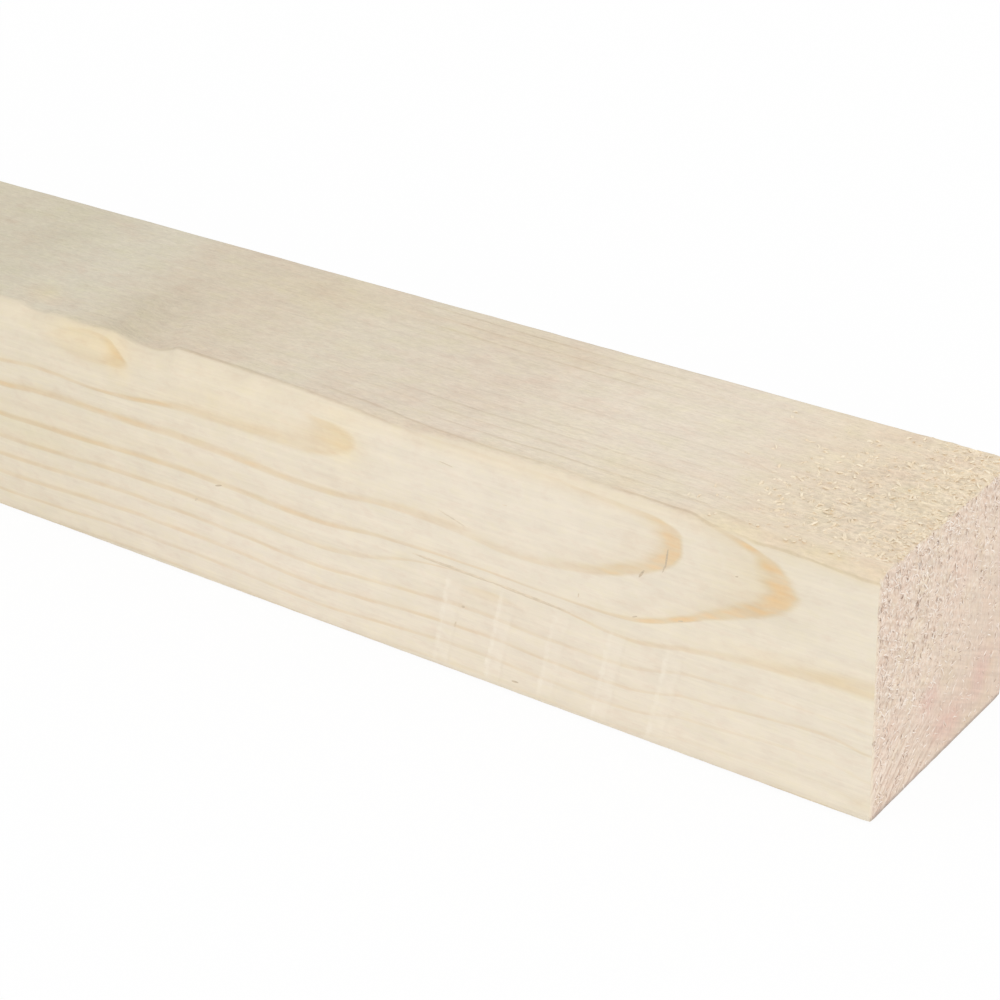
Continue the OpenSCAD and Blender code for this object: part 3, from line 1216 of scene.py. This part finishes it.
# Torn fibres on the top face: how far they reach, how they crowd to the end, and how many are kept
TORN_REACH = 52.0
TORN_CROWDING = 1.6
TORN_KEPT = (0.06, 0.9)
TORN_FIRST_DEPTH = 2.5
TORN_LEAST_DEPTH = 2.0
TORN_LEAST_BACK = 0.2
TORN_TO_END = 0.6
TORN_TURN = 0.7
TUFT_SIZE = 1.3
FIBRES_IN_TUFT = 2
# Fibre ends on the near end: how many are kept in and beside the rows along the rings, how many lie
# along the rings, and how far they turn from their ways
END_MARGIN = 0.8
END_TOP_MARGIN = 0.6
END_ROW_OFFSET = 0.57
END_ROW_WIDTH = 0.14
END_CROWDING = 1.2
END_KEPT = (0.2, 0.8)
END_IN_ROW = (0.15, 0.65)
END_ROW_TURN = 0.35
END_SLANT_TURN = 0.3
# Splinters that reach further past the faces, or nearer to an edge, are left out
OVERHANG = 0.8
FROM_EDGE = 0.2


def fibre_points(root, axes, heading, lift, length, width):
    """Points of tapered three-sided splinters: one row for each splinter.

    The axes are two directions in the face that the splinters lie on, and the way out of it.
    """
    first, second, outward = axes
    steps = len(FIBRE_TAPER)
    curl = random.normal(*FIBRE_CURL, len(root)) * np.minimum(1.0, lift / STIFF_LIFT)
    bend = random.normal(0.0, FIBRE_BEND, len(root))
    pitch = lift[:, None] + curl[:, None] * np.linspace(0.0, 1.0, steps)
    step = (length / (steps - 1))[:, None]
    course = (heading[:, None] + bend[:, None] * np.linspace(0.0, 1.0, steps))[..., None]
    ahead = np.cos(course) * first + np.sin(course) * second
    side = np.cos(course) * second - np.sin(course) * first
    move = (np.cos(pitch)[..., None] * ahead + np.sin(pitch)[..., None] * outward) * step[..., None]
    middle = root[:, None, :] + np.cumsum(move, axis=1) - move[:, :1]
    normal = np.cos(pitch)[..., None] * outward - np.sin(pitch)[..., None] * ahead
    thick = np.array(FIBRE_TAPER)[None, :, None] * width[:, None, None]
    corners = [0.5 * side * thick, -0.5 * side * thick, FIBRE_THICKNESS * normal * thick]
    return np.stack([middle + corner for corner in corners], axis=2).reshape(len(root), -1, 3)


def fibre_faces(first, count):
    """Faces of closed splinters, whose points start at the first."""
    steps = len(FIBRE_TAPER)
    base = first + np.arange(count)[:, None] * steps * FIBRE_SIDES
    faces = []
    for ring in range(steps - 1):
        for corner in range(FIBRE_SIDES):
            following = (corner + 1) % FIBRE_SIDES
            low = ring * FIBRE_SIDES
            high = low + FIBRE_SIDES
            quad = np.array([low + corner, high + corner, high + following, low + following])
            faces.extend((quad + base).tolist())
    last = (steps - 1) * FIBRE_SIDES
    faces.extend((np.array([0, 1, 2]) + base).tolist())
    faces.extend((np.array([last, last + 2, last + 1]) + base).tolist())
    return faces


def top_spots(count):
    """Places on the torn part of the top face, and ways that splinters lie there."""
    back = TORN_REACH * random.random(count) ** TORN_CROWDING
    depth = random.uniform(TORN_FIRST_DEPTH, WIDTH - END_MARGIN, count)
    kept = random.random(count) < lifted(TORN_KEPT, torn_share(back, depth))
    back = np.repeat(back[kept], FIBRES_IN_TUFT)
    depth = np.repeat(depth[kept], FIBRES_IN_TUFT)
    back = np.maximum(TORN_LEAST_BACK, back + random.normal(0.0, TUFT_SIZE, len(back)))
    depth = depth + random.normal(0.0, TUFT_SIZE / 2, len(depth))
    depth = np.clip(depth, TORN_LEAST_DEPTH, WIDTH - END_MARGIN)
    level = np.full(len(back), HEIGHT)
    level = level + side_relief(back, depth, level) - hollow_drop(back, depth) - ROOT_SINK
    towards_end = random.random(len(back)) < TORN_TO_END
    heading = random.normal(0.0, TORN_TURN, len(back)) + math.pi * towards_end
    return points_at(back, depth, level), heading


def end_spots(count):
    """Places on the near end, and ways that splinters lie there: along the rings, or slanting to the back."""
    depth = random.uniform(END_MARGIN, WIDTH - END_MARGIN, count)
    height = random.uniform(END_MARGIN, HEIGHT - END_TOP_MARGIN, count)
    from_line = (ring_count(0 * depth, depth, height) + END_ROW_OFFSET) % 1.0 - 0.5
    row = bell(from_line / END_ROW_WIDTH)
    kept = random.random(count) < end_coarseness(depth, height) ** END_CROWDING * lifted(END_KEPT, row)
    depth, height, row = depth[kept], height[kept], row[kept]
    inside = round_arrises(depth, height)[:2]
    root = points_at(end_relief(*inside) + ROOT_SINK, *inside)
    pith_depth, pith_height = [along(PITH, 0 * depth, column) for column in (1, 2)]
    along_ring = np.arctan2(pith_height - height, depth + pith_depth)
    along_ring = along_ring + random.normal(0.0, END_ROW_TURN, len(depth))
    in_row = random.random(len(depth)) < lifted(END_IN_ROW, row)
    slanting = math.pi / 2 + SLANT + random.normal(0.0, END_SLANT_TURN, len(depth))
    return root, np.where(in_row, along_ring, slanting)


def make_fibres(name, kinds, spots, axes, colours, low, high):
    """One piece of all kinds of splinters on a face, without those that reach past the limits."""
    all_points = []
    all_faces = []
    all_tones = []
    count = 0
    for kind in kinds:
        if "beside" in kind:
            side = np.cos(heading)[:, None] * axes[1] - np.sin(heading)[:, None] * axes[0]
            root = root + kind["beside"] * side
        else:
            root, heading = spots(kind["count"])
        lift, length, width, tone = [
            random.uniform(*kind[key], len(root)) for key in ("lift", "length", "width", "tone")
        ]
        points = fibre_points(root, axes, heading, lift, length, width)
        kept = np.all((points > low) & (points < high), axis=(1, 2))
        points = points[kept]
        all_faces.extend(fibre_faces(count, len(points)))
        all_points.append(points.reshape(-1, 3))
        all_tones.append(np.repeat(tone[kept], points.shape[1]))
        count += points.shape[0] * points.shape[1]
    made = make_piece(name, np.concatenate(all_points), all_faces)
    add_field(made.data, "tone", np.concatenate(all_tones))
    look = {"cell_size": (3, 0.2, 0.2), "dark": 0.96, "bright": 1.03, "roughness": 0.75, "specular": 0.2}
    made.data.materials.append(sliver_material(name, colours, **look))


top_axes = (ALONG_BACK, ALONG_DEPTH, ALONG_HEIGHT)
end_axes = (ALONG_HEIGHT, ALONG_DEPTH, -ALONG_BACK)
top_low = (-OVERHANG, FROM_EDGE, 0.0)
top_high = (LENGTH, WIDTH - FROM_EDGE, HEIGHT + OVERHANG)
end_low = (-OVERHANG, FROM_EDGE, FROM_EDGE)
end_high = (LENGTH, WIDTH - FROM_EDGE, HEIGHT + FROM_EDGE)
make_fibres("torn_fibres_and_shadow_slits", TOP_KINDS, top_spots, top_axes, TOP_SPLINTERS_AND_SHADOWS, top_low, top_high)
make_fibres("end_fibres_and_shadow_slits", END_KINDS, end_spots, end_axes, END_SPLINTERS_AND_SHADOWS, end_low, end_high)

# Dark marks in the front face's grain: back, height, length, width, slope, darkness
GRAIN_MARKS = [
    (107.5, 41.2, 8, 0.5, -0.28, 0.0),
    (108, 28.15, 23, 1.3, -0.027, 0.0),
    (86.5, 27.45, 22, 1.25, -0.04, 0.0),
    (108.5, 54.6, 4, 0.4, -0.12, 0.1),
    (50.2, 48.6, 5.0, 0.75, 7.0, 0.35),
    (50.9, 46.0, 2.4, 0.5, 3.0, 0.25),
    (56.6, 42.9, 2.6, 0.9, 1.6, 0.32),
    (32.9, 49.7, 0.8, 0.4, 0.3, 0.3),
    (73.2, 32.2, 1.2, 0.5, 5.0, 0.1),
    (107.9, 13.3, 1.8, 0.6, 4.0, 0.1),
    (178.5, 28.8, 2.4, 0.7, 0.35, 0.35),
    (186.3, 22.8, 1.4, 0.9, 1.0, 0.1),
    (105.4, 18.8, 1.1, 0.9, 0.2, 0.2),
    (91.4, 3.5, 2.0, 0.8, 0.1, 0.25),
    (92.5, 48.9, 1.5, 0.3, 0.1, 0.0),
    (46.8, 34.3, 1.4, 0.5, 0.3, 0.2),
    (58.5, 31.6, 1.6, 0.5, 0.5, 0.25),
]
MARK_STEPS = 12
MARK_ROWS = 3
MARK_PROUD = 0.05
MARK_SUNK = 0.03
MARK_TIP = 0.02


def mark_mesh(marks):
    """Thin lens-shaped slivers that lie in the front face."""
    points = []
    faces = []
    share = np.linspace(-1.0, 1.0, MARK_STEPS)
    last = MARK_STEPS - 1
    for middle_back, middle_height, length, width, slope, darkness in marks:
        steepness = math.hypot(1.0, slope)
        reach = length / 2 / steepness
        backs = middle_back + reach * share
        heights = middle_height - slope * reach * share
        half = width / 2 * np.sqrt(np.maximum(MARK_TIP, 1.0 - share**2))
        level = side_relief(backs, 0 * backs, heights)
        rows = [len(points) + row * MARK_STEPS for row in range(MARK_ROWS)]
        for side, proud in ((1.0, -MARK_SUNK), (0.0, MARK_PROUD), (-1.0, -MARK_SUNK)):
            edge_back = backs + side * half * (slope / steepness)
            edge_height = heights + side * half * (1.0 / steepness)
            points.extend(points_at(edge_back, -level - proud, edge_height).tolist())
        for upper, lower in zip(rows, rows[1:] + rows[:1]):
            for step in range(last):
                faces.append((upper + step, upper + step + 1, lower + step + 1, lower + step))
        faces.append(rows)
        faces.append([row + last for row in reversed(rows)])
    return points, faces


grain_marks = make_piece("grain_marks", *mark_mesh(GRAIN_MARKS))
mark_tones = [mark[-1] for mark in GRAIN_MARKS]
add_field(grain_marks.data, "tone", np.repeat(mark_tones, MARK_ROWS * MARK_STEPS))
mark_look = {"cell_size": (2, 0.3, 0.3), "dark": 0.88, "bright": 1.08, "roughness": 0.8, "specular": 0.15}
grain_marks.data.materials.append(sliver_material("dark_grain_marks", MARKS, **mark_look))

# Floor: white paper that keeps a part of the shadow

FLOOR_SIZE = 40.0
FLOOR_COLOUR = 0.8
FLOOR_GLOW = 0.93
half = FLOOR_SIZE / 2
floor_corners = [(-half, -half, 0), (half, -half, 0), (half, half, 0), (-half, half, 0)]
floor = add_mesh("floor", floor_corners, [(0, 1, 2, 3)])
floor.location.z = cad_low.z
paper = new_material("floor_paper")
paper_level = paper.map_range(paper.camera_ray(), 0.0, 1.0, FLOOR_COLOUR, 1.0)
sheet = paper.node("ShaderNodeBsdfDiffuse", {"Color": paper.level(paper_level)}).outputs[0]
glow = paper.node("ShaderNodeEmission", {"Color": grey(1.0), "Strength": 1.0}).outputs[0]
glow_share = paper.times(paper.camera_ray(), FLOOR_GLOW)
both = paper.node("ShaderNodeMixShader", {0: glow_share, 1: sheet, 2: glow}).outputs[0]
paper.node("ShaderNodeOutputMaterial", {"Surface": both})
floor.data.materials.append(paper.owner)

# Light: an even white room, a soft key from the upper left and a softer fill from the right

AMBIENT = 0.84
studio = Shader(bpy.data.worlds.new("studio"))
bpy.context.scene.world = studio.owner
strength = studio.map_range(studio.camera_ray(), 0.0, 1.0, AMBIENT, 1.0)
room = studio.node("ShaderNodeBackground", {"Color": grey(1.0), "Strength": strength}).outputs[0]
studio.node("ShaderNodeOutputWorld", {"Surface": room})

# Where each light comes from, its energy and its angle in degrees
SUNS = {
    "key": (Vector((-0.55, -0.8, 0.22)), 0.58, 35),
    "fill": (Vector((0.94, -0.15, 0.3)), 0.8, 40),
}
for name, (direction, energy, angle) in SUNS.items():
    light = bpy.data.lights.new(name, "SUN")
    light.energy = energy
    light.angle = math.radians(angle)
    add_object(name, light).rotation_euler = direction.to_track_quat("Z", "Y").to_euler()

# The camera stands in front of the near end's lower front corner

CAMERA_FROM_CORNER = Vector((213.8, -404.4, 325.9)) * MM
CAMERA_AZIMUTH = math.radians(37.252)
CAMERA_ELEVATION = math.radians(28.517)
CAMERA_ROLL = math.radians(-2.160)
CAMERA_LENS = 94.906
CAMERA_SENSOR = 36.0
CAMERA_CLIP = 0.01
lens = bpy.data.cameras.new("camera")
lens.lens = CAMERA_LENS
lens.sensor_width = CAMERA_SENSOR
lens.clip_start = CAMERA_CLIP
camera = add_object("camera", lens)
camera.matrix_world = (
    Matrix.Translation(Vector((cad_high.x, cad_low.y, cad_low.z)) + CAMERA_FROM_CORNER)
    @ Matrix.Rotation(CAMERA_AZIMUTH, 4, "Z")
    @ Matrix.Rotation(math.pi / 2 - CAMERA_ELEVATION, 4, "X")
    @ Matrix.Rotation(CAMERA_ROLL, 4, "Z")
)
bpy.context.scene.camera = camera
bpy.context.scene.view_settings.view_transform = "Standard"
